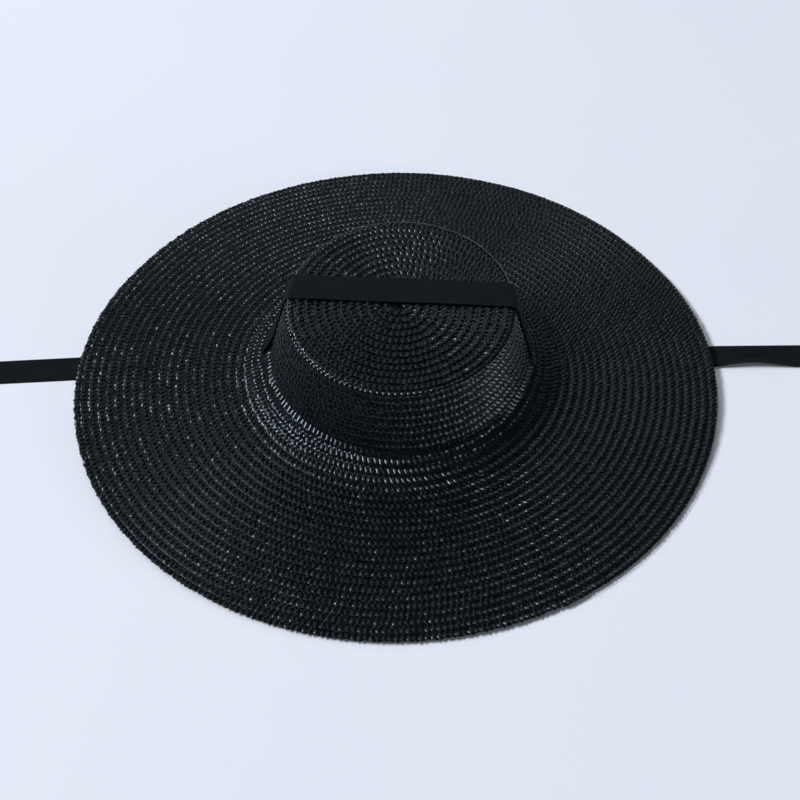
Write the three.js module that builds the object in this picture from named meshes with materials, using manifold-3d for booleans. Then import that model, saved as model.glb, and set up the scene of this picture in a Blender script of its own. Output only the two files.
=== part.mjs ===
// A flat-top, wide-brim straw hat at rest on its rim, in millimetres, +Z up.
// The straw is a narrow plait sewn in overlapping rows, so crown and brim are thin ridged walls.
// One ribbon lies across the crown, goes down through a slit at each side and out under the brim.
// The origin is on the table under the middle of the brim, +X runs along the ribbon.
import * as THREE from "three";
import { mergeVertices } from "three/addons/utils/BufferGeometryUtils.js";
import Module from "manifold-3d";

const wasm = await Module();
wasm.setup();

// Straw body: half-widths along X, heights above the table
const BRIM_HALF_X = 220;
const TOP_HALF_X = 77;
const FOOT_HALF_X = 91;
const CROWN_HEIGHT = 72;
const FOOT_HEIGHT = 14.8;
const WALL = 2.2;
const EDGE_RADIUS = 4.5;
const FOOT_RADIUS = 17;
// The hat is a little longer than wide. Rows inside ROUND_HALF_X grow from a round start.
const OVAL = 3.5;
const ROUND_HALF_X = 40;
// The crown sits slightly to one side of the brim's middle.
const CROWN_SHIFT = 3.5;
// The crown's top leans: it rises by this share of the way towards the back.
const TOP_LEAN = 0.042;

// Plait rows: each row's outer edge stands proud and laps over the next row.
const ROW_PITCH = 5.75;
const ROW_STEP = 0.7;
const ROW_LIP = 0.3;
const AROUND = 48;
const ARC_STEPS = 4;
const JOIN_GAP = 0.3;

// Ribbon
const RIBBON_WIDTH = 22;
const RIBBON_THICK = 1;
const RIBBON_CLEAR = 0.5;
const RIBBON_LEAVES_WALL = 38;
const RIBBON_FLOOR_X = 120;
const SLIT_SPARE = 1;
const SLIT_DEPTH = 14;
const SLIT_ROOM = 4;
// Where the ribbon's middle runs in plan, from the left end to the right end
const RIBBON_LINE = [
  { place: "left end", x: -284, y: 12.5 },
  { place: "left rim", x: -220, y: 15.6 },
  { place: "left slit", x: -92, y: 17 },
  { place: "left edge of top", x: -70, y: 16.3 },
  { place: "right edge of top", x: 78, y: 5.1 },
  { place: "right slit", x: 98, y: 5.2 },
  { place: "right rim", x: 222, y: 16.8 },
  { place: "right end", x: 292, y: 16.2 },
];

// The rim rises over the ribbon at both sides and meets the table everywhere else.
const RIM_LIFT = 2.4;
const LIFT_REACH = 110;
const LIFT_FLAT_DEG = 8;
const LIFT_END_DEG = 34;
const LIFTS = [
  { side: "right", angleDeg: 3.4 },
  { side: "left", angleDeg: 176.8 },
];

const straw = new THREE.MeshStandardMaterial({
  name: "black straw plait",
  color: 0x191c21,
  roughness: 0.5,
  metalness: 0,
});
const grosgrain = new THREE.MeshStandardMaterial({
  name: "black ribbon",
  color: 0x1b1d1f,
  roughness: 0.9,
  metalness: 0,
});

// The hat's half outline, grooves of the rows, with corners rounded by arcs

function roundedPath(corners) {
  const path = new THREE.Path();
  path.moveTo(corners[0].x, corners[0].y);
  for (let i = 1; i < corners.length - 1; i++) {
    const { x, y, radius } = corners[i];
    const corner = new THREE.Vector2(x, y);
    const back = new THREE.Vector2(corners[i - 1].x, corners[i - 1].y).sub(corner).normalize();
    const ahead = new THREE.Vector2(corners[i + 1].x, corners[i + 1].y).sub(corner).normalize();
    const halfAngle = Math.acos(back.dot(ahead)) / 2;
    const reach = radius / Math.tan(halfAngle);
    const middle = back.clone().add(ahead).normalize();
    const centre = corner.clone().addScaledVector(middle, radius / Math.sin(halfAngle));
    const start = corner.clone().addScaledVector(back, reach);
    const end = corner.clone().addScaledVector(ahead, reach);
    path.lineTo(start.x, start.y);
    const from = Math.atan2(start.y - centre.y, start.x - centre.x);
    const to = Math.atan2(end.y - centre.y, end.x - centre.x);
    path.absarc(centre.x, centre.y, radius, from, to, back.cross(ahead) > 0);
  }
  const last = corners[corners.length - 1];
  path.lineTo(last.x, last.y);
  return path;
}

const outline = roundedPath([
  { x: 0, y: CROWN_HEIGHT },
  { x: TOP_HALF_X, y: CROWN_HEIGHT, radius: EDGE_RADIUS },
  { x: FOOT_HALF_X, y: FOOT_HEIGHT, radius: FOOT_RADIUS },
  { x: BRIM_HALF_X, y: WALL },
]);
const OUTLINE_LENGTH = outline.getLength();

// A point at a distance along the outline, raised square to it
function outlinePoint(distance, raised) {
  const share = THREE.MathUtils.clamp(distance / OUTLINE_LENGTH, 0, 1);
  const point = outline.getPointAt(share);
  const along = outline.getTangentAt(share);
  return new THREE.Vector2(point.x - along.y * raised, point.y + along.x * raised);
}

// The outer face of the rows between two distances: a groove and a proud lip for each row
function rowFace(from, to) {
  const face = [outlinePoint(from, 0)];
  const firstRow = Math.floor(from / ROW_PITCH) + 1;
  for (let row = firstRow; row * ROW_PITCH < to - ROW_LIP; row++) {
    face.push(outlinePoint(row * ROW_PITCH - ROW_LIP, ROW_STEP));
    face.push(outlinePoint(row * ROW_PITCH, 0));
  }
  face.push(outlinePoint(to, ROW_STEP));
  return face;
}

// The smooth inner face, walked backwards so that it closes the section. Straight runs need no points.
function innerFace(from, to) {
  const stops = [from, to];
  const ends = outline.getCurveLengths();
  outline.curves.forEach((curve, i) => {
    if (!curve.isEllipseCurve) return;
    for (let step = 0; step <= ARC_STEPS; step++) {
      stops.push(THREE.MathUtils.lerp(ends[i - 1], ends[i], step / ARC_STEPS));
    }
  });
  const inside = stops.filter((stop) => stop >= from && stop <= to);
  return inside.sort((a, b) => b - a).map((stop) => outlinePoint(stop, -WALL));
}

// Turning a section into an oval ring

function rimLift(angle, halfX) {
  const near = 1 - (BRIM_HALF_X - halfX) / LIFT_REACH;
  let share = 0;
  for (const { angleDeg } of LIFTS) {
    const turn = THREE.MathUtils.euclideanModulo(
      THREE.MathUtils.radToDeg(angle) - angleDeg + 180,
      360,
    );
    const away = Math.abs(turn - 180);
    share = Math.max(share, 1 - THREE.MathUtils.smoothstep(away, LIFT_FLAT_DEG, LIFT_END_DEG));
  }
  return RIM_LIFT * share * Math.max(0, near);
}

function topLift(y, height) {
  const rise = CROWN_HEIGHT - WALL - FOOT_HEIGHT;
  return TOP_LEAN * y * THREE.MathUtils.clamp((height - FOOT_HEIGHT) / rise, 0, 1);
}

function shiftX(halfX) {
  return CROWN_SHIFT * (1 - THREE.MathUtils.smoothstep(halfX, FOOT_HALF_X, BRIM_HALF_X));
}

// A lathe turns round Y. The ring is stood up on Z, then stretched to the oval plan.
function ovalRing(section) {
  const ring = new THREE.LatheGeometry(section, AROUND);
  ring.rotateX(Math.PI / 2);
  const place = ring.attributes.position;
  for (let i = 0; i < place.count; i++) {
    const halfX = Math.hypot(place.getX(i), place.getY(i));
    const angle = Math.atan2(place.getY(i), place.getX(i));
    const y = (halfX + OVAL * Math.min(1, halfX / ROUND_HALF_X)) * Math.sin(angle);
    const z = place.getZ(i);
    place.setXYZ(
      i,
      shiftX(halfX) + halfX * Math.cos(angle),
      y,
      z + rimLift(angle, halfX) + topLift(y, z),
    );
  }
  return ring;
}

// Joining and cutting

function solidOf(geometry) {
  const bare = new THREE.BufferGeometry();
  bare.setAttribute("position", geometry.attributes.position);
  bare.setIndex(geometry.index);
  const merged = mergeVertices(bare, 1e-3);
  const index = merged.index.array;
  const triVerts = [];
  for (let i = 0; i < index.length; i += 3) {
    const [a, b, c] = [index[i], index[i + 1], index[i + 2]];
    if (a !== b && b !== c && c !== a) triVerts.push(a, b, c);
  }
  return new wasm.Manifold(
    new wasm.Mesh({
      numProp: 3,
      vertProperties: merged.attributes.position.array,
      triVerts: new Uint32Array(triVerts),
    }),
  );
}

function geometryOf(solid) {
  const { vertProperties, triVerts } = solid.getMesh();
  const geometry = new THREE.BufferGeometry();
  geometry.setAttribute("position", new THREE.BufferAttribute(vertProperties, 3));
  geometry.setIndex(new THREE.BufferAttribute(triVerts, 1));
  geometry.computeVertexNormals();
  return geometry;
}

function ribbonY(x) {
  const last = RIBBON_LINE.length - 2;
  let i = 0;
  while (i < last && x > RIBBON_LINE[i + 1].x) i++;
  const [a, b] = [RIBBON_LINE[i], RIBBON_LINE[i + 1]];
  return THREE.MathUtils.mapLinear(x, a.x, b.x, a.y, b.y);
}

// Crown: flat top and tapering wall, hollow and open below. It ends halfway round the foot's bend.

const curveEnds = outline.getCurveLengths();
const footArc = outline.curves.findLastIndex((curve) => curve.isEllipseCurve);
const FOOT_MIDDLE = (curveEnds[footArc - 1] + curveEnds[footArc]) / 2;
const CROWN_END = Math.round(FOOT_MIDDLE / ROW_PITCH) * ROW_PITCH;

function crownGeometry() {
  const section = [
    ...rowFace(0, CROWN_END - JOIN_GAP),
    ...innerFace(0, CROWN_END - JOIN_GAP),
  ];
  return ovalRing(section.reverse());
}

// Brim: a gently sloping ring whose last row lies flat on the table, slit at both sides

function brimGeometry() {
  const rimRow = OUTLINE_LENGTH - ROW_PITCH;
  const section = [
    ...rowFace(CROWN_END, OUTLINE_LENGTH),
    new THREE.Vector2(BRIM_HALF_X, 0),
    new THREE.Vector2(BRIM_HALF_X - ROW_PITCH, 0),
    ...innerFace(CROWN_END, rimRow - ROW_PITCH),
  ];
  section.push(section[0].clone());
  let solid = solidOf(ovalRing(section.reverse()));
  const slitWidth = RIBBON_WIDTH + 2 * SLIT_SPARE;
  for (const place of ["left slit", "right slit"]) {
    const { x, y } = RIBBON_LINE.find((stop) => stop.place === place);
    const box = new THREE.BoxGeometry(SLIT_DEPTH, slitWidth, CROWN_HEIGHT);
    const outer = CROWN_SHIFT + Math.sign(x) * SLIT_HALF_X;
    box.translate(outer - (Math.sign(x) * SLIT_DEPTH) / 2, y, CROWN_HEIGHT / 2);
    solid = solid.subtract(solidOf(box));
  }
  return geometryOf(solid);
}

// Ribbon: its side view is a thin band, drawn from the middle of the crown to each end

const RIBBON_RAISED = ROW_STEP + RIBBON_CLEAR + RIBBON_THICK / 2;
const WALL_SLOPE = (FOOT_HALF_X - TOP_HALF_X) / (CROWN_HEIGHT - FOOT_HEIGHT);
const WALL_RAISED_X = RIBBON_RAISED * Math.hypot(1, WALL_SLOPE);
const RIBBON_BENDS = 8;
const RIBBON_ACROSS = 2;
// The slit is between the crown's last row and the brim's first, which is cut back there.
const SLIT = outlinePoint(CROWN_END, RIBBON_RAISED);
const SLIT_HALF_X = SLIT.x + SLIT_ROOM;

// Half of the ribbon's middle line: half-width from the crown's middle, and height
function ribbonHalf(endX) {
  const leaveX = TOP_HALF_X + (CROWN_HEIGHT - RIBBON_LEAVES_WALL) * WALL_SLOPE + WALL_RAISED_X;
  const floor = RIBBON_THICK / 2;
  const top = CROWN_HEIGHT + RIBBON_RAISED;
  const edgeX = TOP_HALF_X + WALL_RAISED_X - RIBBON_RAISED * WALL_SLOPE;
  const path = roundedPath([
    { x: 0, y: top },
    { x: edgeX, y: top, radius: EDGE_RADIUS + RIBBON_RAISED },
    { x: leaveX, y: RIBBON_LEAVES_WALL, radius: RIBBON_LEAVES_WALL },
    SLIT,
  ]);
  path.bezierCurveTo(SLIT.x + 2, SLIT.y / 2, SLIT.x + 7, floor, RIBBON_FLOOR_X, floor);
  path.lineTo(endX, floor);
  return path.getPoints(RIBBON_BENDS);
}

function ribbonGeometry() {
  const [first, last] = [RIBBON_LINE[0], RIBBON_LINE[RIBBON_LINE.length - 1]];
  const left = ribbonHalf(CROWN_SHIFT - first.x);
  const right = ribbonHalf(last.x - CROWN_SHIFT);
  const middle = [
    ...left.slice(1).reverse().map((p) => new THREE.Vector2(-p.x, p.y)),
    ...right,
  ];
  const above = [];
  const below = [];
  middle.forEach((point, i) => {
    const before = middle[Math.max(i - 1, 0)];
    const after = middle[Math.min(i + 1, middle.length - 1)];
    const along = after.clone().sub(before).normalize();
    const side = new THREE.Vector2(-along.y, along.x).multiplyScalar(RIBBON_THICK / 2);
    above.push(point.clone().add(side));
    below.push(point.clone().sub(side));
  });
  const band = new THREE.Shape([...below, ...above.reverse()]);
  const strip = new THREE.ExtrudeGeometry(band, {
    depth: RIBBON_WIDTH,
    steps: RIBBON_ACROSS,
    bevelEnabled: false,
  });
  // The side view is drawn in XY and extruded along Z, so it is stood up and its width centred.
  strip.rotateX(Math.PI / 2);
  strip.translate(0, RIBBON_WIDTH / 2, 0);
  layOnCrown(strip);
  return strip;
}

// Follows the plan line, and hugs the crown's round wall between the slits
function layOnCrown(strip) {
  const place = strip.attributes.position;
  for (let i = 0; i < place.count; i++) {
    const halfX = Math.abs(place.getX(i));
    const y = place.getY(i) + ribbonY(place.getX(i) + CROWN_SHIFT);
    const wallHalfY = Math.max(halfX, TOP_HALF_X) + OVAL;
    const round = Math.sqrt(1 - (y / wallHalfY) ** 2);
    const hug = 1 - THREE.MathUtils.smoothstep(halfX, SLIT_HALF_X, RIBBON_FLOOR_X);
    const z = place.getZ(i);
    place.setXYZ(
      i,
      CROWN_SHIFT + place.getX(i) * THREE.MathUtils.lerp(1, round, hug),
      y,
      z + topLift(y, z),
    );
  }
}

function piece(name, geometry, material) {
  const mesh = new THREE.Mesh(geometry, material);
  mesh.name = name;
  return mesh;
}

const hat = new THREE.Group();
hat.add(piece("crown", crownGeometry(), straw));
hat.add(piece("brim", brimGeometry(), straw));
hat.add(piece("ribbon", ribbonGeometry(), grosgrain));

export default hat;
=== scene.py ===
# %% [markdown]
# # A black straw hat
# A hat like this is one long plait of dyed straw. It starts as a curl in the middle of the crown
# and is sewn round and round, each turn lapped over the next, out to the rim. The measured solids
# give its size and form, and this lesson dresses them: first the camera and the ribbon, then the
# plait straw by straw, then the finishes, the table and the light. Lengths are in metres.

import math

import bmesh
import bpy
import numpy as np
from mathutils import Matrix, Vector


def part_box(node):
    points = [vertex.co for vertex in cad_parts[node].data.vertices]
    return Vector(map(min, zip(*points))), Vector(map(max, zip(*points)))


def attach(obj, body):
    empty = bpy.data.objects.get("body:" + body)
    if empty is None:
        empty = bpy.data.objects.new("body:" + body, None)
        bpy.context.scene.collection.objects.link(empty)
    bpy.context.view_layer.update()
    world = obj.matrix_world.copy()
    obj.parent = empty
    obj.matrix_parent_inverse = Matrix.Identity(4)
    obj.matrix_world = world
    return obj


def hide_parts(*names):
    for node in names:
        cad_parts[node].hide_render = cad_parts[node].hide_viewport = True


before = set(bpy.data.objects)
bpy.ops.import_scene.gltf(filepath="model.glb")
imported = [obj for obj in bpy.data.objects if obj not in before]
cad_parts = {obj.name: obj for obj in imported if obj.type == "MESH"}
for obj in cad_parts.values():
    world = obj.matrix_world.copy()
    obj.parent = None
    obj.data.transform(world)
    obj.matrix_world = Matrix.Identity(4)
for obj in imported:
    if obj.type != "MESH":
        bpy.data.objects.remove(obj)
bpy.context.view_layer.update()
MM = 0.001
TO_MM = 1000

# %% [markdown]
# ## The camera
# A camera can be set by eye, but here it can be measured: the rim is an ellipse of known size in
# the picture, so its shape gives the camera's height and distance. The camera stands in front,
# looks down at the brim and leans a little to one side.

# %% Camera
CAMERA_DISTANCE = 1.2
CAMERA_HEIGHT_DEG = 45.521
CAMERA_LEAN_DEG = 0.778
LOOK_AT = Vector((0.0029, -0.0191, 0.0))
FOCAL_PIXELS = 1745.3
PICTURE_PIXELS = 800

height = math.radians(CAMERA_HEIGHT_DEG)
stand = CAMERA_DISTANCE * Vector((0.0, -math.cos(height), math.sin(height)))
aim = (LOOK_AT - stand).to_track_quat("-Z", "Y").to_matrix().to_4x4()
lean = Matrix.Rotation(-math.radians(CAMERA_LEAN_DEG), 4, "Z")

lens = bpy.data.cameras.new("camera")
lens.lens = lens.sensor_width * FOCAL_PIXELS / PICTURE_PIXELS
lens.clip_start, lens.clip_end = 0.05, 50.0
camera = bpy.data.objects.new("camera", lens)
camera.matrix_world = Matrix.Translation(stand) @ aim @ lean
bpy.context.scene.collection.objects.link(camera)
bpy.context.scene.camera = camera
print("lens", round(lens.lens, 2), "mm")

# %% [markdown]
# ## Lines with round corners
# Straw bends in soft curves, so neither the hat's outline nor the ribbon's route has a sharp
# corner. A bevel could round a line of edges, but these lines are never seen: other pieces are
# placed by them. So they stay plain numbers. One helper rounds the corners of a line, and another
# sets its points at even spaces.

# %% Lines with round corners
CORNER_POINTS = 25


def rounded_line(corners):
    """A fine line through (across, height, radius) corners, each rounded by its radius."""
    points = [np.array(corners[0][:2])]
    for before, corner, after in zip(corners, corners[1:], corners[2:]):
        here = np.array(corner[:2])
        radius = corner[2]
        back = np.array(before[:2]) - here
        ahead = np.array(after[:2]) - here
        back /= np.linalg.norm(back)
        ahead /= np.linalg.norm(ahead)
        half_angle = math.acos(back @ ahead) / 2
        middle = (back + ahead) / np.linalg.norm(back + ahead)
        centre = here + middle * radius / math.sin(half_angle)
        start = here + back * radius / math.tan(half_angle) - centre
        end = here + ahead * radius / math.tan(half_angle) - centre
        first = math.atan2(start[1], start[0])
        swept = (math.atan2(end[1], end[0]) - first + math.pi) % (2 * math.pi) - math.pi
        for angle in first + swept * np.linspace(0, 1, CORNER_POINTS):
            points.append(centre + radius * np.array((math.cos(angle), math.sin(angle))))
    points.append(np.array(corners[-1][:2]))
    return np.array(points)


def length_so_far(points):
    """The distance of each point of a line from its start."""
    return np.concatenate([[0], np.cumsum(np.linalg.norm(np.diff(points, axis=0), axis=1))])


def resampled(points, step):
    """The same line with points at an even spacing, and each point's distance from the start."""
    gone = length_so_far(points)
    stops = np.linspace(0, gone[-1], int(round(gone[-1] / step)) + 1)
    return np.column_stack([np.interp(stops, gone, column) for column in points.T]), stops


print("each corner is rounded by", CORNER_POINTS, "points")

# %% [markdown]
# ## The hat's outline
# Half of the hat cut through the middle is a line: flat top, round edge, sloping wall, a soft kink,
# rows that flare out in a wide curve, and a long, nearly flat brim. A spin of that line would make
# a smooth shell, but the plait lies on it in rows of single straws. So everything sewn on the hat
# is placed by how far along the line it lies, at which angle round the hat, and how far off it.

# %% Outline
TOP_HALF_X = 75.6 * MM
FOOT_HALF_X = 91 * MM
CROWN_HEIGHT = 72 * MM
FOOT_HEIGHT = 14.8 * MM
EDGE_RADIUS = 4.5 * MM
KINK_HEIGHT = 27 * MM
KINK_RADIUS = 4 * MM
FLARE_SLOPE = math.tan(math.radians(42))
FLARE_RADIUS = 42 * MM
RIM_HEIGHT = 2.8 * MM
# The line ends a little inside the solid's rim, because single straws wander past it.
RIM_INSET = 0.5 * MM
OUTLINE_STEP = 0.25 * MM
brim_low, brim_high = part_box("brim")
BRIM_HALF_X = (brim_high.x - brim_low.x) / 2 - RIM_INSET
WALL_SLOPE = (FOOT_HALF_X - TOP_HALF_X) / (CROWN_HEIGHT - FOOT_HEIGHT)
BRIM_SLOPE = (FOOT_HEIGHT - RIM_HEIGHT) / (BRIM_HALF_X - FOOT_HALF_X)

# The flare runs from the kink in the wall to the place where its slope meets the brim's.
kink_x = TOP_HALF_X + (CROWN_HEIGHT - KINK_HEIGHT) * WALL_SLOPE
above_brim = KINK_HEIGHT - FOOT_HEIGHT - (FOOT_HALF_X - kink_x) * BRIM_SLOPE
flare_x = kink_x + above_brim / (FLARE_SLOPE - BRIM_SLOPE)
flare_high = KINK_HEIGHT - (flare_x - kink_x) * FLARE_SLOPE
outline_corners = [
    (0.0, CROWN_HEIGHT, 0.0),
    (TOP_HALF_X, CROWN_HEIGHT, EDGE_RADIUS),
    (kink_x, KINK_HEIGHT, KINK_RADIUS),
    (flare_x, flare_high, FLARE_RADIUS),
    (BRIM_HALF_X, RIM_HEIGHT, 0.0),
]
OUTLINE, OUTLINE_ALONG = resampled(rounded_line(outline_corners), OUTLINE_STEP)
slopes = np.gradient(OUTLINE, axis=0)
OUTLINE_LEAN = np.arctan2(-slopes[:, 1], slopes[:, 0])
outline_mm = round(OUTLINE_ALONG[-1] * TO_MM, 1)
print("outline is", outline_mm, "mm from the middle of the top to the rim")

# %% [markdown]
# ## How the hat leans and lifts
# Nothing made by hand is quite even. The flat top leans, higher at the back. The rim rises at both
# sides, where the ribbon runs out under it, and the whole brim rises and falls a little. A brush in
# sculpt mode could do this to one finished mesh. As functions of the place, the same lifts move
# straws, threads and fibres together, and the lean of the top moves the ribbon too.

# %% Lean and lift
# The top's rise for each metre towards the back, which is full from this height up
TOP_LEAN = 0.042
LEAN_TOP = 69.8 * MM
RIM_LIFT = 2.4 * MM
LIFT_REACH = 110 * MM
LIFT_FLAT_DEG, LIFT_END_DEG = 8, 34
LIFT_ANGLES_DEG = (3.4, 176.8)
# The base is the sum of the waves' strengths, so the rim only rises and never dips.
UNEVEN = 0.2 * MM
UNEVEN_BASE = 2.2
# Each wave of the brim: its strength, how often it comes round the hat, and where it starts
BRIM_WAVES = ((1.0, 2, 0.6), (0.7, 5, 2.1), (0.5, 9, 0.0))


def smooth(value, low, high):
    """A share that goes from 0 to 1 between two values, with a soft start and end."""
    share = np.clip((value - low) / (high - low), 0, 1)
    return share * share * (3 - 2 * share)


def degrees_from(angle, middle_deg):
    """How far an angle round the hat is turned from another, between -180 and 180 degrees."""
    return (np.degrees(angle) - middle_deg + 180) % 360 - 180


def rim_lift(angle, half_x):
    """Rise of the brim over both ends of the ribbon, most at the rim."""
    share = 0
    for middle_deg in LIFT_ANGLES_DEG:
        away = np.abs(degrees_from(angle, middle_deg))
        share = np.maximum(share, 1 - smooth(away, LIFT_FLAT_DEG, LIFT_END_DEG))
    return RIM_LIFT * share * np.clip(1 - (BRIM_HALF_X - half_x) / LIFT_REACH, 0, None)


def top_share(high):
    """A share that goes from 0 at the foot to 1 at the top."""
    return np.clip((high - FOOT_HEIGHT) / (LEAN_TOP - FOOT_HEIGHT), 0, 1)


def top_lift(y, high):
    """Rise of the leaning top towards the back."""
    return TOP_LEAN * y * top_share(high)


def uneven(angle, half_x):
    """Slow rise of the brim round the hat, nothing at the foot and most at the rim."""
    waves = UNEVEN_BASE
    for strength, count, start in BRIM_WAVES:
        waves = waves + strength * np.sin(count * angle + start)
    return UNEVEN * waves * smooth(half_x, FOOT_HALF_X, BRIM_HALF_X)


print("top rises", round(2 * TOP_HALF_X * TOP_LEAN * TO_MM, 1), "mm from front to back")

# %% [markdown]
# ## From the outline to the round hat
# Seen from above the hat is a little longer than wide, and its crown sits slightly to one side. To
# scale the hat along one axis would make every row wider there, but real rows are even. So only the
# first turns are stretched, and the others are moved out by one small amount. One function turns a
# place on the hat into a point in space.

# %% Round the hat
OVAL = 3.5 * MM
ROUND_HALF_X = 40 * MM
# The crown sits this far to the right of the rim, and its top a little further.
CROWN_SHIFT = 3.5 * MM
TOP_SHIFT = 0.7 * MM


def beside_outline(along, raised):
    """Half width and height at a distance along the outline, raised square to it."""
    slope = np.interp(along, OUTLINE_ALONG, OUTLINE_LEAN)
    half_x = np.interp(along, OUTLINE_ALONG, OUTLINE[:, 0]) + raised * np.sin(slope)
    return half_x, np.interp(along, OUTLINE_ALONG, OUTLINE[:, 1]) + raised * np.cos(slope)


def on_hat(angle, along, raised):
    """Points at an angle round the hat and a distance along its outline, raised square to it."""
    half_x, high = beside_outline(along, raised)
    shift = CROWN_SHIFT * (1 - smooth(half_x, FOOT_HALF_X, BRIM_HALF_X))
    half_y = half_x + OVAL * np.clip(half_x / ROUND_HALF_X, 0, 1)
    x = shift + TOP_SHIFT * top_share(high) + half_x * np.cos(angle)
    y = half_y * np.sin(angle)
    lift = rim_lift(angle, half_x) + uneven(angle, half_x) + top_lift(y, high)
    return np.stack([x, y, high + lift], axis=-1)


rim = on_hat(np.radians(np.arange(360)), OUTLINE_ALONG[-1], 0.0)
print("rim measures", [round(v * TO_MM, 1) for v in np.ptp(rim, axis=0)], "mm")

# %% [markdown]
# ## The spiral of the plait
# The plait winds outward clockwise, seen from above. Each turn lies one row further along the
# outline. The last turn stays at the rim and slides under the turn before it, so that the rim
# closes without a step, and only its folded end stands out a little. A Screw modifier could wind a
# spiral, but not along this outline. So the spiral is a table of small steps, which gives the
# angle, the place along the outline and the length of plait that is used up so far.

# %% Spiral
ROW = 5.75 * MM
PLAIT_WIDTH = 11.5 * MM
SPIRAL_START = 1.8 * MM
STEPS_A_TURN = 720
END_ANGLE_DEG = 297
END_OUT = 1.6 * MM
# Where the end comes up from under its neighbour, and where it turns out, in turns before the end
END_COMES_UP = (0.02, 0.008)
END_TURNS_OUT = (0.016, 0.006)
RIM_ALONG = OUTLINE_ALONG[-1] - PLAIT_WIDTH / 2
LAST_TURN = (RIM_ALONG - SPIRAL_START) / ROW + 1
SPIRAL_TURN = np.linspace(0, LAST_TURN, int(LAST_TURN * STEPS_A_TURN))


def before_end(stretch):
    """A share that goes from 0 to 1 over a stretch of the spiral just before its end."""
    return smooth(SPIRAL_TURN, LAST_TURN - stretch[0], LAST_TURN - stretch[1])


free_along = SPIRAL_START + ROW * SPIRAL_TURN
SPIRAL_TUCK = np.clip((free_along - RIM_ALONG) / ROW, 0, 1)
SPIRAL_TUCK *= 1 - before_end(END_COMES_UP)
SPIRAL_ALONG = np.minimum(free_along, RIM_ALONG)
SPIRAL_ALONG += END_OUT * before_end(END_TURNS_OUT)
SPIRAL_ANGLE = math.radians(END_ANGLE_DEG) + 2 * math.pi * (LAST_TURN - SPIRAL_TURN)
SPIRAL_GONE = length_so_far(on_hat(SPIRAL_ANGLE, SPIRAL_ALONG, 0 * SPIRAL_TURN))
print("plait", round(SPIRAL_GONE[-1], 2), "m in", round(LAST_TURN, 1), "turns")

# %% [markdown]
# ## The slits
# At each side of the crown's foot two rows are left unsewn for the width of the ribbon. The ribbon
# pushes the rows outside it away, most the first of them, and so opens a slit. A Boolean modifier
# could cut a slit, but would leave straws with cut ends. Here the rows themselves move aside, and
# every straw stays whole.

# %% Slits
SLIT_ANGLES_DEG = {"left": 170.5, "right": 2.0}
# Rough places along the outline. Each slit opens at the outer edge of the row closest to it.
SLIT_NEAR = {"left": 129 * MM, "right": 121 * MM}
SLIT_OPEN = 2.6 * MM
SLIT_RAISE = 0.4 * MM
SLIT_FADE = 0.6
SLIT_HALF_LENGTH = 12 * MM
SLIT_ENDS = 16 * MM
SLIT_RADIUS = np.interp(SLIT_NEAR["left"], OUTLINE_ALONG, OUTLINE[:, 0])
# The first row outside a slit counts as 0 and the row inside it as -1. Rows past this are moved.
ROWS_MOVED = -0.5


def outer_edge_of_row(angle_deg, near):
    """The place along the outline, closest to near, where a row's outer edge lies at an angle."""
    share = (END_ANGLE_DEG - angle_deg) / 360
    first = RIM_ALONG + ROW * (1 + share) + PLAIT_WIDTH / 2
    return first - ROW * round((first - near) / ROW)


SLITS = {}
for side, angle_deg in SLIT_ANGLES_DEG.items():
    SLITS[side] = outer_edge_of_row(angle_deg, SLIT_NEAR[side])
    print(side, "slit at", round(SLITS[side] * TO_MM, 2), "mm along the outline")


def slit_opening(angle, along):
    """How far, from 0 to 1, a slit pushes the row whose middle is at an angle and a place."""
    share = 0 * angle
    for side, angle_deg in SLIT_ANGLES_DEG.items():
        away = np.abs(np.radians(degrees_from(angle, angle_deg))) * SLIT_RADIUS
        wide = 1 - smooth(away, SLIT_HALF_LENGTH, SLIT_HALF_LENGTH + SLIT_ENDS)
        rows_out = (along + PLAIT_WIDTH / 2 - SLITS[side]) / ROW - 1
        fade = SLIT_FADE ** np.clip(rows_out, 0, None)
        share = share + np.where(rows_out > ROWS_MOVED, wide * fade, 0)
    return share


# %% [markdown]
# ## The ribbon's route
# One length of woven ribbon lies across the crown, bends over its edges, hangs down the walls and
# through a slit at each side, and runs out over the table under the rim. A cloth simulation could
# drape it, but would settle anew after every small change. So its route is drawn: a plan line as
# seen from above, and a side view of each half, from the middle of the top to the ribbon's end.

# %% Ribbon route
RIBBON_WIDTH = 22 * MM
RIBBON_THICK = 0.5 * MM
RIBBON_RAISED = 1.0 * MM
RIBBON_LEAVES_WALL = 38 * MM
RIBBON_PAST_ROW = 0.5 * MM
RIBBON_FLOOR_X = 120 * MM
RIBBON_STEP = 1.4 * MM
# The bend from the slit to the table: how far out its two handles stand, and its points
BEND_OUT = (0.8 * MM, 6 * MM)
BEND_POINTS = 30
# Plan of the ribbon's middle from its left end to its right end, as x and y in millimetres
RIBBON_PLAN = (
    (-284, 12.5),
    (-220, 15.6),
    (-92, 17.0),
    (-70, 16.3),
    (78, 5.1),
    (98, 5.2),
    (222, 16.8),
    (292, 16.2),
)
RIBBON_LINE = np.array(RIBBON_PLAN) * MM


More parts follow.
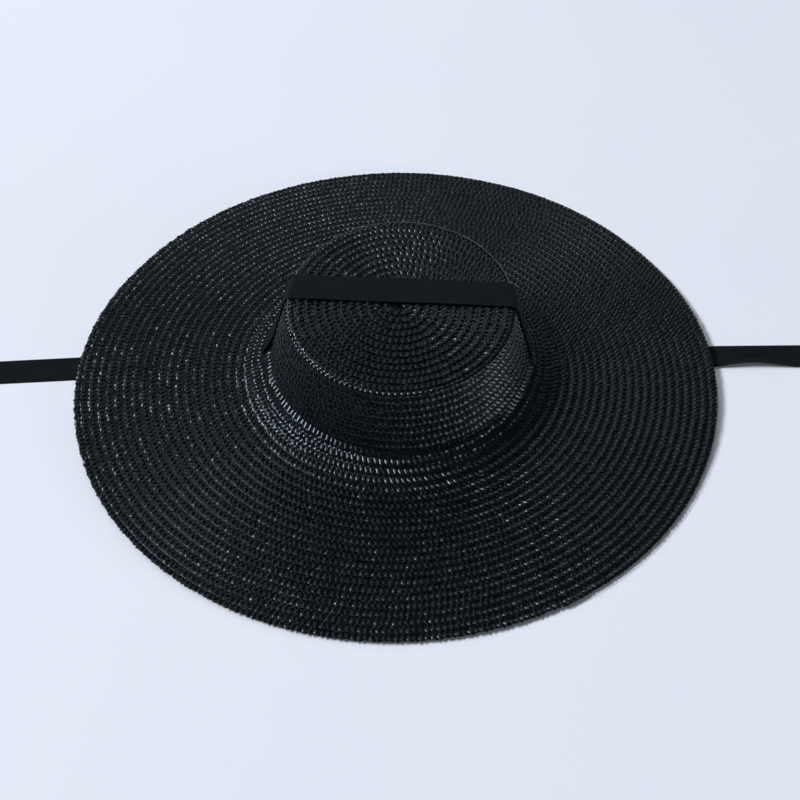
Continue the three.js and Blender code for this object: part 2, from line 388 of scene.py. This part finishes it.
def ribbon_half(end, slit_along):
    """Side view of half the ribbon: over the top, down the wall, through the slit, to its end."""
    off_wall = RIBBON_RAISED * math.hypot(1, WALL_SLOPE)
    top = CROWN_HEIGHT + RIBBON_RAISED
    leave_x = TOP_HALF_X + (CROWN_HEIGHT - RIBBON_LEAVES_WALL) * WALL_SLOPE + off_wall
    edge_x = TOP_HALF_X + off_wall - RIBBON_RAISED * WALL_SLOPE
    slit_x, slit_high = beside_outline(slit_along + RIBBON_PAST_ROW, RIBBON_RAISED)
    on_table = RIBBON_THICK / 2
    down = rounded_line(
        [
            (0.0, top, 0.0),
            (edge_x, top, EDGE_RADIUS + RIBBON_RAISED),
            (leave_x, RIBBON_LEAVES_WALL, RIBBON_LEAVES_WALL),
            (slit_x, slit_high, 0.0),
        ]
    )
    handles = np.array(
        [
            (slit_x, slit_high),
            (slit_x + BEND_OUT[0], slit_high / 2),
            (slit_x + BEND_OUT[1], on_table),
            (RIBBON_FLOOR_X, on_table),
        ]
    )
    t = np.linspace(0, 1, BEND_POINTS)[1:, None]
    bend = (
        handles[0] * (1 - t) ** 3
        + 3 * handles[1] * (1 - t) ** 2 * t
        + 3 * handles[2] * (1 - t) * t**2
        + handles[3] * t**3
    )
    return np.vstack([down, bend, [(end, on_table)]])


left_half = ribbon_half(CROWN_SHIFT - RIBBON_LINE[0, 0], SLITS["left"])
right_half = ribbon_half(RIBBON_LINE[-1, 0] - CROWN_SHIFT, SLITS["right"])
whole_side = np.vstack([left_half[:0:-1] * (-1, 1), right_half])
RIBBON_SIDE, RIBBON_ALONG = resampled(whole_side, RIBBON_STEP)
RIBBON_LENGTH = RIBBON_ALONG[-1]
print("ribbon", round(RIBBON_LENGTH, 4), "m long")

# %% [markdown]
# ## Laying the ribbon
# The ribbon follows its plan line and hugs the round wall between the slits. Cloth is never dead
# flat: it ripples a little on the crown, and the front edge of the right tie has lifted off the
# table near the rim. The ripple and the lift could be sculpted, but a function that lays any point
# of the flat ribbon on the route keeps its length and width nearly true.

# %% Lay the ribbon
HUG_PAST_SLIT = 4 * MM
TIE_LIFT = 4.5 * MM
TIE_LIFT_X = 247 * MM
TIE_LIFT_SPREAD = 24 * MM
TIE_LEAN = 0.35
# The lift grows over this part of the width, measured from the middle towards the front edge.
TIE_LIFT_FROM, TIE_LIFT_TO = -0.2 * RIBBON_WIDTH, 0.5 * RIBBON_WIDTH
RIPPLE = 0.25 * MM
RIPPLE_ALONG, RIPPLE_ACROSS = 17 * MM, 9 * MM
RIPPLE_FADES, RIPPLE_ENDS = 0.7 * TOP_HALF_X, 0.95 * TOP_HALF_X


def on_ribbon(along, across):
    """Points of the ribbon's middle layer, from distances along it and across it."""
    side_x = np.interp(along, RIBBON_ALONG, RIBBON_SIDE[:, 0])
    high = np.interp(along, RIBBON_ALONG, RIBBON_SIDE[:, 1])
    y = across + np.interp(side_x + CROWN_SHIFT, *RIBBON_LINE.T)
    half_x = np.abs(side_x)
    bulge = np.sqrt(1 - (y / (np.maximum(half_x, TOP_HALF_X) + OVAL)) ** 2)
    hug = 1 - smooth(half_x, SLIT_RADIUS + HUG_PAST_SLIT, RIBBON_FLOOR_X)
    x = CROWN_SHIFT + TOP_SHIFT * top_share(high) + side_x * (1 + (bulge - 1) * hug)
    front = smooth(-across, TIE_LIFT_FROM, TIE_LIFT_TO)
    lifted = TIE_LIFT * front**2 * np.exp(-(((x - TIE_LIFT_X) / TIE_LIFT_SPREAD) ** 2))
    on_top = 1 - smooth(half_x, RIPPLE_FADES, RIPPLE_ENDS)
    ripple = RIPPLE * (1 + np.sin(along / RIPPLE_ALONG + across / RIPPLE_ACROSS)) * on_top
    z = high + top_lift(y, high) + lifted + ripple
    return np.stack([x, y + TIE_LEAN * lifted, z], axis=-1)


left_end, right_end = on_ribbon(np.array((0, RIBBON_LENGTH)), np.zeros(2))
print("ribbon ends at x", round(left_end[0], 3), "and", round(right_end[0], 3))

# %% [markdown]
# ## The ribbon as cloth
# The ribbon starts as a flat grid one unit wide and long. Its map is written while it is flat,
# because each point's place along and across the ribbon can then be read off. The points are laid
# on the route, and solidify gives the sheet its thickness, half of it on either side. A Solidify
# modifier could do that too, but the operator leaves a finished mesh.

# %% Ribbon cloth
RIBBON_ACROSS = 10
GRID_HALF = 0.5
RIBBON_SHARP_DEG = 50


def object_of(name, mesh):
    """An object for a mesh, linked to the scene and riding on the hat's one body."""
    made = bpy.data.objects.new(name, mesh)
    bpy.context.scene.collection.objects.link(made)
    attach(made, "root")
    return made


rows = len(RIBBON_ALONG) - 1
sheet = bmesh.new()
bmesh.ops.create_grid(sheet, x_segments=rows, y_segments=RIBBON_ACROSS, size=GRID_HALF)
weave = sheet.loops.layers.uv.new("weave")
for face in sheet.faces:
    for loop in face.loops:
        along = (loop.vert.co.x + GRID_HALF) * RIBBON_LENGTH
        across = (loop.vert.co.y + GRID_HALF) * RIBBON_WIDTH
        loop[weave].uv = (along * TO_MM, across * TO_MM)
flat = np.array([v.co for v in sheet.verts])
laid = on_ribbon((flat[:, 0] + GRID_HALF) * RIBBON_LENGTH, flat[:, 1] * RIBBON_WIDTH)
for vertex, place in zip(sheet.verts, laid):
    vertex.co = place
bmesh.ops.recalc_face_normals(sheet, faces=sheet.faces)
sheet.normal_update()
for vertex, push in [(v, v.normal * RIBBON_THICK / 2) for v in sheet.verts]:
    vertex.co += push
bmesh.ops.solidify(sheet, geom=sheet.faces[:], thickness=RIBBON_THICK)
bmesh.ops.recalc_face_normals(sheet, faces=sheet.faces)
ribbon_mesh = bpy.data.meshes.new("ribbon_cloth")
sheet.to_mesh(ribbon_mesh)
sheet.free()
ribbon_mesh.shade_smooth()
ribbon_mesh.set_sharp_from_angle(angle=math.radians(RIBBON_SHARP_DEG))
ribbon = object_of("ribbon_cloth", ribbon_mesh)
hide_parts("ribbon")
print("ribbon cloth has", len(ribbon_mesh.polygons), "faces")

# %% [markdown]
# ## The bed of the plait
# On the real hat each row lies a little tilted, with its outer edge on top of the next row. A Curve
# modifier could bend a straight plait along the spiral, but it would know nothing of the tilt, the
# slits and the tucked end. So one function gives the point for any distance along the plait, across
# it and above it, and straws and thread are both drawn through it.

# %% Plait bed
ROW_TILT = 0.24
ROW_BASE = -1.6 * MM
TUCK_DEPTH = 0.5 * MM
MIDDLE_HOLE = 0.3 * MM


def on_plait(gone, across, up):
    """Points at a distance along the plait, across it and above its middle layer."""
    angle = np.interp(gone, SPIRAL_GONE, SPIRAL_ANGLE)
    along = np.interp(gone, SPIRAL_GONE, SPIRAL_ALONG)
    tuck = np.interp(gone, SPIRAL_GONE, SPIRAL_TUCK)
    opening = slit_opening(angle, along)
    raised = ROW_BASE + ROW_TILT * across + up - TUCK_DEPTH * tuck + SLIT_RAISE * opening
    place = np.clip(along + across + SLIT_OPEN * opening, MIDDLE_HOLE, None)
    return on_hat(angle, place, raised)


print("each row lies", round((PLAIT_WIDTH - ROW) * TO_MM, 2), "mm over the next")

# %% [markdown]
# ## Three straws make the plait
# Each straw swings from edge to edge, over its neighbour on the way out of an edge and under it
# on the way in, as in a braid of hair. A bump map could paint the plait on a smooth shell, but its
# rim would be smooth too and nothing would cross. So the straws are real. A straw is a flat split
# stem, so its section is a low triangle: two edges and a crest. No two stretches are quite alike,
# so widths, heights and the tilt of each crossing wander, and that makes single crossings glint.

# %% Straws
STRAWS = 3
REPEAT = 3.7 * MM
SWING = STRAWS * REPEAT
STEPS_A_SWING = 10
STATION = SWING / STEPS_A_SWING
STATIONS_A_CROSSING = 5
STRAW_WIDTH = 3.1 * MM
STRAW_CREST = 0.9 * MM
REACH = (PLAIT_WIDTH - STRAW_WIDTH) / 2
OVER = 0.7 * MM
UNDER = 0.35 * MM
ROUNDNESS = 0.9
SIDE_WANDER = 0.05 * MM
HEIGHT_WANDER = 0.03 * MM
WIDTH_WANDER = 0.06
CROSSING_LIFT = 0.07 * MM
CROSSING_TILT = 0.12
rng = np.random.default_rng(7)
# A hand-plaited length is a little longer here and shorter there, so its beat drifts.
DRIFT = 0.35
DRIFT_STEP = 30 * MM
DRIFT_SPARE = 0.1
drift_at = np.arange(0, SPIRAL_GONE[-1] + DRIFT_SPARE, DRIFT_STEP)
drift = rng.normal(0, DRIFT, len(drift_at))


def straw_rings(first, last):
    """Triangles round each straw at every station from first to last along the plait."""
    stations = np.arange(first, last + 1)
    gone = stations * SWING / STEPS_A_SWING
    crossings = np.arange(first // STATIONS_A_CROSSING, last // STATIONS_A_CROSSING + 2)
    crossings = crossings * STATIONS_A_CROSSING
    rings = []
    for straw in range(STRAWS):
        wander = rng.normal(0, 1, (3, len(stations)))
        at_crossings = rng.normal(0, 1, (2, len(crossings)))
        lift, tilt = (np.interp(stations, crossings, row) for row in at_crossings)
        phase = 2 * math.pi * (gone / SWING + straw / STRAWS) + np.interp(gone, drift_at, drift)
        inner = ROUNDNESS * np.sin(phase)
        across = REACH * np.arcsin(inner) / math.asin(ROUNDNESS) + SIDE_WANDER * wander[0]
        rate = ROUNDNESS * np.cos(phase) / np.sqrt(1 - inner**2) / math.asin(ROUNDNESS)
        heading = np.arctan2(REACH * rate * 2 * math.pi, SWING)
        arch = -np.sin(2 * phase)
        up = np.where(arch > 0, OVER, UNDER) * arch
        up = up + HEIGHT_WANDER * wander[1] + CROSSING_LIFT * lift
        half = STRAW_WIDTH / 2 * (1 + WIDTH_WANDER * wander[2])
        ring = []
        for edge, crest in ((1, 0), (0, STRAW_CREST), (-1, 0)):
            ring.append(
                on_plait(
                    gone - edge * half * np.sin(heading),
                    across + edge * half * np.cos(heading),
                    up + crest + edge * CROSSING_TILT * half * tilt,
                )
            )
        rings.append(np.stack(ring, axis=1))
    return np.array(rings)


print("a straw swings once in", round(SWING * TO_MM, 1), "mm")

# %% [markdown]
# ## Tubes from rings
# Straws, threads and fibres are all thin closed tubes. A curve with a bevel gives a tube, but its
# section can't tilt from crossing to crossing, and an extrude for each of many thousand short
# stretches would be slow. So the rings are worked out first and joined by their numbers, each ring
# to the next, with a cap at both ends. Every tube keeps a map of the place along and round it.

# %% Tubes
STRAW_SHARP_DEG = 75
# Tubes are set this far apart on the map, so that no two show the same grain.
TUBES_APART = 997.0


def tube_mesh(name, rings, step):
    """One mesh of closed tubes from rings[tube, station, corner], with a UV map along them."""
    tubes, stations, corners, _ = rings.shape
    number = np.arange(tubes * stations * corners).reshape(tubes, stations, corners)
    here, ahead = number[:, :-1], number[:, 1:]
    sides = np.stack([here, np.roll(here, -1, 2), np.roll(ahead, -1, 2), ahead], axis=-1)
    caps = np.concatenate([number[:, 0, ::-1], number[:, -1]])
    mesh = bpy.data.meshes.new(name)
    mesh.from_pydata(rings.reshape(-1, 3), [], sides.reshape(-1, 4).tolist() + caps.tolist())
    tube, station, corner = np.indices(here.shape)
    along = station[..., None] + np.array((0, 0, 1, 1))
    around = corner[..., None] + np.array((0, 1, 1, 0))
    uv = np.stack([along * step * TO_MM + TUBES_APART * tube[..., None], around], axis=-1)
    uv = np.vstack([uv.reshape(-1, 2), np.zeros((caps.size, 2))])
    mesh.uv_layers.new(name="straw").uv.foreach_set("vector", uv.astype(np.float32).ravel())
    mesh.shade_smooth()
    mesh.set_sharp_from_angle(angle=math.radians(STRAW_SHARP_DEG))
    return mesh


def triangles(mesh):
    """How many triangles a mesh of four-sided faces has, about."""
    return len(mesh.polygons) * 2


print("tubes keep edges sharper than", STRAW_SHARP_DEG, "degrees")

# %% [markdown]
# ## The plait in three meshes
# The plait is one length from the middle of the top to the rim. As one mesh it would be too heavy
# to handle, so it is cut across at two stations: the crown, the inner brim and the outer brim. The
# cuts lie end to end and don't show.

# %% Plait meshes
CROWN_END_ALONG = 132.25 * MM
crown_end = np.interp(CROWN_END_ALONG, SPIRAL_ALONG, SPIRAL_GONE)
brim_middle = (crown_end + SPIRAL_GONE[-1]) / 2
stops = [int(round(g / STATION)) for g in (0, crown_end, brim_middle, SPIRAL_GONE[-1])]
plaits = []
for name, node, first, last in (
    ("crown_plait", "crown", stops[0], stops[1]),
    ("brim_plait", "brim", stops[1], stops[2]),
    ("rim_plait", "brim", stops[2], stops[3]),
):
    mesh = tube_mesh(name, straw_rings(first, last), STATION)
    made = object_of(name, mesh)
    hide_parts(node)
    plaits.append(made)
    lowest = min(v.co.z for v in mesh.vertices) * TO_MM
    print(name, triangles(mesh), "triangles, lowest point", round(lowest, 2), "mm")

# %% [markdown]
# ## The sewing thread
# The rows are sewn to each other by one long machine seam. It is made where it shows, on the brim:
# a fine thread near each row's outer edge, pulled into the straw at every stitch. Single stitches
# would be thousands of pieces. One thin closed tube that follows the spiral does the same.

# %% Seam thread
STITCH = 4.2 * MM
THREAD_RADIUS = 0.2 * MM
THREAD_SIDES = 5
SEAM_AFTER_CROWN = 0.5
SEAM_ACROSS = 5.4 * MM
SEAM_UP = 0.85 * MM
SEAM_DIP = 0.16 * MM
SEAM_SIDE_WANDER = 0.06 * MM
SEAM_HEIGHT_WANDER = 0.03 * MM


def thread_object(name, radius, across, up, place):
    """A round thread round the places that a function gives for across and up."""
    ring = []
    for corner in range(THREAD_SIDES):
        around = 2 * math.pi * corner / THREAD_SIDES + math.pi / 2
        ring.append(place(across + radius * math.cos(around), up + radius * math.sin(around)))
    made = object_of(name, tube_mesh(name, np.stack(ring, axis=1)[None], STITCH / 2))
    return made


seam_start = crown_end + SEAM_AFTER_CROWN
seam_end = np.interp(LAST_TURN - 1, SPIRAL_TURN, SPIRAL_GONE)
halves = int((seam_end - seam_start) / STITCH) * 2 + 1
seam_gone = seam_start + np.arange(halves) * STITCH / 2
seam_across = SEAM_ACROSS + rng.normal(0, SEAM_SIDE_WANDER, halves)
seam_up = SEAM_UP - SEAM_DIP * (np.arange(halves) % 2) + rng.normal(0, SEAM_HEIGHT_WANDER, halves)


def along_plait(across, up):
    """Points of the seam, from distances across the plait and above it."""
    return on_plait(seam_gone, across, up)


seam = thread_object("seam_thread", THREAD_RADIUS, seam_across, seam_up, along_plait)
print("seam has", halves // 2, "stitches,", triangles(seam.data), "triangles")

# %% [markdown]
# ## The painted highlight on the crown's edge
# A thin line of glints runs round the back of the top's edge, and here it is painted: a pale line
# whose pale colour stands in for the highlight. It could be a stripe in the straw's finish, but it
# is finer than a straw and crosses from straw to straw. So it is made like the threads, a thin tube
# laid on the round edge from one side of the hat over the back to the other.

# %% Painted edge highlight
EDGE_HIGHLIGHT_RADIUS = 0.35 * MM
EDGE_HIGHLIGHT_ALONG = 74.2 * MM
EDGE_HIGHLIGHT_UP = 0.65 * MM
EDGE_FROM_DEG, EDGE_TO_DEG, EDGE_STEP_DEG = 198, -4, -1.5
edge_angle = np.radians(np.arange(EDGE_FROM_DEG, EDGE_TO_DEG, EDGE_STEP_DEG))
edge_across = rng.normal(0, SEAM_SIDE_WANDER, len(edge_angle))
edge_up = np.full(len(edge_angle), EDGE_HIGHLIGHT_UP)


def round_edge(across, up):
    """Points of the painted highlight line, from distances along the outline and above it."""
    return on_hat(edge_angle, EDGE_HIGHLIGHT_ALONG + across, up)


# This line is a painted highlight: its pale colour stands in for the glint along the edge.
edge_highlight = thread_object("painted_edge_glint", EDGE_HIGHLIGHT_RADIUS, edge_across, edge_up, round_edge)
print("edge thread has", triangles(edge_highlight.data), "triangles")

# %% [markdown]
# ## Loose fibres
# Straw splinters. Here and there on the brim a thin fibre has sprung out of the plait and arches low
# over the rows. Hair particles could make them, but they aren't a mesh and would be lost outside
# Blender. So each fibre is a thin closed tube on a curling line that is rooted in the straw at its
# start and tapers to its end. All of them are joined into one mesh.

# %% Fibres
FIBRES = 40
FIBRE_RADIUS = 0.2 * MM
FIBRE_TAPER = 0.6
FIBRE_SIDES = 4
FIBRE_STATIONS = 9
FIBRE_LENGTHS = (4 * MM, 11 * MM)
FIBRE_RING = (105 * MM, 208 * MM)
FIBRE_CURL = 2.2
FIBRE_ROOT = 0.2 * MM
FIBRE_ARCH_MM = (0.9, 1.9)
# A share of half a wave: the fibre rises, and is on its way down again where it ends.
FIBRE_WAVE = 0.75 * math.pi
# Two fibres that catch the eye, as degrees round the hat and millimetres along its outline
SEEN_FIBRES = ((192, 141), (204, 196.5))
fibre_step = np.linspace(0, 1, FIBRE_STATIONS)


def fibre_rings(angle, radius, along):
    """Rings round one fibre that starts at an angle, a half width and a place on the outline."""
    length = rng.uniform(*FIBRE_LENGTHS)
    heading = rng.uniform(0, 2 * math.pi) + rng.normal(0, FIBRE_CURL) * fibre_step
    out = along + length * np.cumsum(np.cos(heading)) / FIBRE_STATIONS
    side = length * np.cumsum(np.sin(heading)) / FIBRE_STATIONS
    raised = FIBRE_ROOT + rng.uniform(*FIBRE_ARCH_MM) * MM * np.sin(FIBRE_WAVE * fibre_step)
    thick = FIBRE_RADIUS * (1 - FIBRE_TAPER * fibre_step)
    ring = []
    for corner in range(FIBRE_SIDES):
        around = 2 * math.pi * corner / FIBRE_SIDES
        aside = thick * math.cos(around)
        ring.append(
            on_hat(
                angle + (side + aside * np.cos(heading)) / radius,
                out - aside * np.sin(heading),
                raised + thick * math.sin(around),
            )
        )
    return np.stack(ring, axis=1)


tubes = []
for number in range(FIBRES):
    angle = rng.uniform(0, 2 * math.pi)
    radius = math.sqrt(rng.uniform(FIBRE_RING[0] ** 2, FIBRE_RING[1] ** 2))
    along = np.interp(radius, OUTLINE[:, 0], OUTLINE_ALONG)
    if number < len(SEEN_FIBRES):
        angle = math.radians(SEEN_FIBRES[number][0])
        along = SEEN_FIBRES[number][1] * MM
        radius = np.interp(along, OUTLINE_ALONG, OUTLINE[:, 0])
    tubes.append(fibre_rings(angle, radius, along))
fibre_mesh = tube_mesh("loose_fibres", np.array(tubes), FIBRE_LENGTHS[0] / FIBRE_STATIONS)
fibres = object_of("loose_fibres", fibre_mesh)
print(FIBRES, "fibres,", triangles(fibre_mesh), "triangles")

# %% [markdown]
# ## Helpers for the finishes
# Straw and ribbon are both uneven: the dye, the sheen and the surface change from place to place.
# Each finish is a node group that takes a place on the piece's own map, along it and across or
# round it, and two colours, and hands out a colour between them, a roughness and a height. A
# picture could do that for one size only. Noise stays sharp however close the camera comes.

# %% Helpers for the finishes
def new_finish(name):
    """An empty node group for a finish, with its named sockets, and its input and output."""
    group = bpy.data.node_groups.new(name, "ShaderNodeTree")
    for label, way, kind in (
        ("Place", "INPUT", "NodeSocketVector"),
        ("Dark", "INPUT", "NodeSocketColor"),
        ("Light", "INPUT", "NodeSocketColor"),
        ("Colour", "OUTPUT", "NodeSocketColor"),
        ("Roughness", "OUTPUT", "NodeSocketFloat"),
        ("Height", "OUTPUT", "NodeSocketFloat"),
    ):
        group.interface.new_socket(label, in_out=way, socket_type=kind)
    return group, group.nodes.new("NodeGroupInput"), group.nodes.new("NodeGroupOutput")


def stretched_noise(group, place, stretch, detail):
    """Noise over a place on the map, stretched by a factor for each direction."""
    scaled = group.nodes.new("ShaderNodeVectorMath")
    scaled.operation = "MULTIPLY"
    scaled.inputs[1].default_value = stretch
    group.links.new(place, scaled.inputs[0])
    noise = group.nodes.new("ShaderNodeTexNoise")
    noise.inputs["Scale"].default_value = 1.0
    noise.inputs["Detail"].default_value = detail
    group.links.new(scaled.outputs[0], noise.inputs["Vector"])
    return noise.outputs["Fac"]


def ranged(group, value, span, to_span):
    """A value mapped from one span to another and kept inside it."""
    node = group.nodes.new("ShaderNodeMapRange")
    for socket, number in zip(node.inputs[1:5], (*span, *to_span)):
        socket.default_value = number
    group.links.new(value, node.inputs["Value"])
    return node.outputs["Result"]


def mix_node(group, share):
    """A node that mixes its two colours by a share."""
    node = group.nodes.new("ShaderNodeMix")
    node.data_type = "RGBA"
    group.links.new(share, node.inputs["Factor"])
    return node


def hand_out(group, group_in, group_out, share, roughness, height):
    """Links a finish's outputs: a colour between its two by a share, a roughness, a height."""
    mix = mix_node(group, share)
    group.links.new(group_in.outputs["Dark"], mix.inputs["A"])
    group.links.new(group_in.outputs["Light"], mix.inputs["B"])
    group.links.new(mix.outputs["Result"], group_out.inputs["Colour"])
    group.links.new(roughness, group_out.inputs["Roughness"])
    group.links.new(height, group_out.inputs["Height"])


helpers = (new_finish, stretched_noise, ranged, mix_node, hand_out)
print("helpers", [helper.__name__ for helper in helpers])

# %% [markdown]
# ## The finish of dyed straw
# Black dye soaks into straw unevenly: one stretch is deeper, the next a little grey or blue. The
# skin of the stem is glossy, the torn places are dull, and fine grooves run along it. Noise that is
# stretched along each straw gives all three. The group is built once, and each material that uses
# it gives it two colours of its own.

# %% Straw grain
DYE_STRETCH, DYE_SPAN = (0.11, 0.3, 1), (0.35, 0.68)
SKIN_STRETCH, SKIN_SPAN = (0.35, 0.5, 1), (0.3, 0.7)
GROOVE_STRETCH = (0.45, 5.0, 1)
STRAW_ROUGHNESS = (0.17, 0.3)
grain, grain_in, grain_out = new_finish("straw_grain")
place = grain_in.outputs["Place"]
dye = ranged(grain, stretched_noise(grain, place, DYE_STRETCH, detail=2), DYE_SPAN, (0, 1))
skin = stretched_noise(grain, place, SKIN_STRETCH, detail=1)
roughness = ranged(grain, skin, SKIN_SPAN, STRAW_ROUGHNESS)
grooves = stretched_noise(grain, place, GROOVE_STRETCH, detail=3)
hand_out(grain, grain_in, grain_out, dye, roughness, grooves)
print("straw grain has", len(grain.nodes), "nodes")

# %% [markdown]
# ## Straw and thread
# The black straw mirrors weakly and with a bluish tint. The sewing thread has the same grain with a
# stronger sheen. The line on the crown's edge and the loose fibres get a pale colour that paints in
# their highlights, and they mirror without a tint. Each material could be wired by hand, but its
# nodes would be the same every time, so one helper wires them with each one's own values.

# %% Straw materials
STRAW_BLACK = ((0.0014, 0.0019, 0.0028), (0.0045, 0.0057, 0.008))
# A pale colour that paints in the highlights of the edge line and the loose fibres
PALE_HIGHLIGHT_COLOURS = ((0.04, 0.048, 0.06), (0.07, 0.083, 0.1))
# How strongly a finish mirrors, and with which tint
STRAW_SHEEN = (0.33, (0.72, 0.88, 1.0))
THREAD_SHEEN = (0.4, (0.75, 0.88, 1.0))
PALE_SHEEN = (0.5, (1, 1, 1))
# How deep a bump is, and how strongly it shows
STRAW_BUMP = (0.06 * MM, 0.2)
THREAD_BUMP = (0.05 * MM, 0.3)


def new_material(name):
    """A material with its node tree and its shader."""
    made = bpy.data.materials.new(name)
    made.use_nodes = True
    return made, made.node_tree, made.node_tree.nodes["Principled BSDF"]


def finished(name, group, colours, uv_name, bumps, sheen):
    """A material whose shader gets a finish in two colours, with its bumps and its sheen."""
    made, tree, shader = new_material(name)
    shader.inputs["Specular IOR Level"].default_value = sheen[0]
    shader.inputs["Specular Tint"].default_value = (*sheen[1], 1)
    where = tree.nodes.new("ShaderNodeUVMap")
    where.uv_map = uv_name
    finish = tree.nodes.new("ShaderNodeGroup")
    finish.node_tree = group
    finish.inputs["Dark"].default_value = (*colours[0], 1)
    finish.inputs["Light"].default_value = (*colours[1], 1)
    bump = tree.nodes.new("ShaderNodeBump")
    bump.inputs["Distance"].default_value = bumps[0]
    bump.inputs["Strength"].default_value = bumps[1]
    tree.links.new(where.outputs["UV"], finish.inputs["Place"])
    tree.links.new(finish.outputs["Colour"], shader.inputs["Base Color"])
    tree.links.new(finish.outputs["Roughness"], shader.inputs["Roughness"])
    tree.links.new(finish.outputs["Height"], bump.inputs["Height"])
    tree.links.new(bump.outputs["Normal"], shader.inputs["Normal"])
    return made


straw = finished("black_straw", grain, STRAW_BLACK, "straw", STRAW_BUMP, STRAW_SHEEN)
thread = finished("sewing_thread", grain, STRAW_BLACK, "straw", THREAD_BUMP, THREAD_SHEEN)
# The pale material is a painted highlight on the crown's edge line and on the fibres.
pale = finished("painted_highlight_pale", grain, PALE_HIGHLIGHT_COLOURS, "straw", THREAD_BUMP, PALE_SHEEN)
for material, pieces in ((straw, plaits), (thread, [seam]), (pale, [edge_highlight, fibres])):
    for piece in pieces:
        piece.data.materials.append(material)
    print(material.name, "on", [piece.name for piece in pieces])

# %% [markdown]
# ## The finish of the ribbon
# The ribbon is woven with a thick weft, so fine ribs run across it. It is matt, and a little dusty
# where it has been handled. Ribs could be modelled, but they are about a millimetre wide and low, so
# a wave of height along the ribbon's map is enough.

# %% Ribbon material
RIBS_SCALE = 0.31
RIBS_WAVER = 0.4
RIBS_BUMP = (0.12 * MM, 0.5)
DUST_STRETCH, DUST_SPAN = (0.05, 0.16, 1), (0.35, 0.7)
YARN_STRETCH, YARN_SPAN = (1.1, 0.35, 1), (0.3, 0.7)
CLOTH_ROUGHNESS = (0.75, 0.95)
CLOTH_SHEEN = (0.14, (0.75, 0.88, 1.0))
CLOTH_BLACK = ((0.0034, 0.0043, 0.0058), (0.0056, 0.0067, 0.0083))
ribs, ribs_in, ribs_out = new_finish("cross_ribs")
place = ribs_in.outputs["Place"]
wave = ribs.nodes.new("ShaderNodeTexWave")
wave.bands_direction = "X"
wave.inputs["Scale"].default_value = RIBS_SCALE
wave.inputs["Distortion"].default_value = RIBS_WAVER
ribs.links.new(place, wave.inputs["Vector"])
dust = ranged(ribs, stretched_noise(ribs, place, DUST_STRETCH, detail=3), DUST_SPAN, (0, 1))
yarn = stretched_noise(ribs, place, YARN_STRETCH, detail=2)
roughness = ranged(ribs, yarn, YARN_SPAN, CLOTH_ROUGHNESS)
hand_out(ribs, ribs_in, ribs_out, dust, roughness, wave.outputs["Fac"])

cloth = finished("black_ribbon", ribs, CLOTH_BLACK, "weave", RIBS_BUMP, CLOTH_SHEEN)
ribbon.data.materials.append(cloth)
print("ribbon finish has", len(ribs.nodes), "nodes")

# %% [markdown]
# ## The table
# The hat lies on a pale, slightly bluish table that has no edge in sight. A large plane is enough.
# Its colour is a little cloudy, because a floor of one flat colour looks empty.

# %% Table
FLOOR_SIZE = 12
FLOOR_CLOUDS = 3.0
FLOOR_DARK, FLOOR_LIGHT = (0.78, 0.825, 0.925), (0.82, 0.86, 0.945)
bpy.ops.mesh.primitive_plane_add(size=FLOOR_SIZE, location=(0, 0, 0))
floor = bpy.context.object
floor.name = "floor"
floor_material, tree, shader = new_material("pale_floor")
shader.inputs["Roughness"].default_value = 0.75
shader.inputs["Specular IOR Level"].default_value = 0.2
where = tree.nodes.new("ShaderNodeTexCoord")
cloudy = tree.nodes.new("ShaderNodeTexNoise")
cloudy.inputs["Scale"].default_value = FLOOR_CLOUDS
tree.links.new(where.outputs["Object"], cloudy.inputs["Vector"])
tone = mix_node(tree, cloudy.outputs["Fac"])
tone.inputs["A"].default_value = (*FLOOR_DARK, 1)
tone.inputs["B"].default_value = (*FLOOR_LIGHT, 1)
tree.links.new(tone.outputs["Result"], shader.inputs["Base Color"])
floor.data.materials.append(floor_material)
print("floor", FLOOR_SIZE, "m wide")

# %% [markdown]
# ## The light
# Most of the light comes from one large soft light, far off and high at the left. It lights the
# table and draws the bright dots along the crown's foot. Weak lights from above and from behind lift
# the top and the brim, and a low one at the right draws the dots on the wall. A picture of a room
# wrapped round the scene could light it too. But straw this black shows little except what it
# mirrors, so each light stands where the straw mirrors it to the camera. The room itself is dim.

# %% Light
COOL = (0.97, 0.985, 1.0)
WARM = (1.0, 0.99, 0.98)
ROOM_COLOUR = (0.78, 0.84, 0.93)
ROOM_STRENGTH = 0.09


def soft_light(name, place, width, height, power, colour):
    """A flat light of a width and height that faces the middle of the hat."""
    data = bpy.data.lights.new(name, "AREA")
    data.shape = "RECTANGLE"
    data.size = width
    data.size_y = height
    data.energy = power
    data.color = colour
    made = bpy.data.objects.new(name, data)
    turned = (-Vector(place)).to_track_quat("-Z", "Y").to_matrix().to_4x4()
    made.matrix_world = Matrix.Translation(place) @ turned
    bpy.context.scene.collection.objects.link(made)


soft_light("above", (-0.75, 0.0, 4.5), 1.6, 1.6, 11, WARM)
soft_light("back", (0.2, 2.2, 1.95), 2.6, 1.7, 4, COOL)
soft_light("left", (-4.72, 0.18, 4.9), 3.0, 1.3, 455, COOL)
soft_light("low right", (1.75, -0.95, 0.32), 1.6, 0.25, 15, COOL)
soft_light("back small", (-0.5, 1.3, 2.5), 0.6, 0.4, 6, COOL)
soft_light("back low", (0.3, 2.2, 1.2), 1.3, 0.35, 1.8, COOL)

world = bpy.data.worlds.new("room")
bpy.context.scene.world = world
world.use_nodes = True
sky = world.node_tree.nodes["Background"]
sky.inputs["Color"].default_value = (*ROOM_COLOUR, 1)
sky.inputs["Strength"].default_value = ROOM_STRENGTH
bpy.context.scene.view_settings.view_transform = "Standard"
print("lights", [light.name for light in bpy.data.lights])
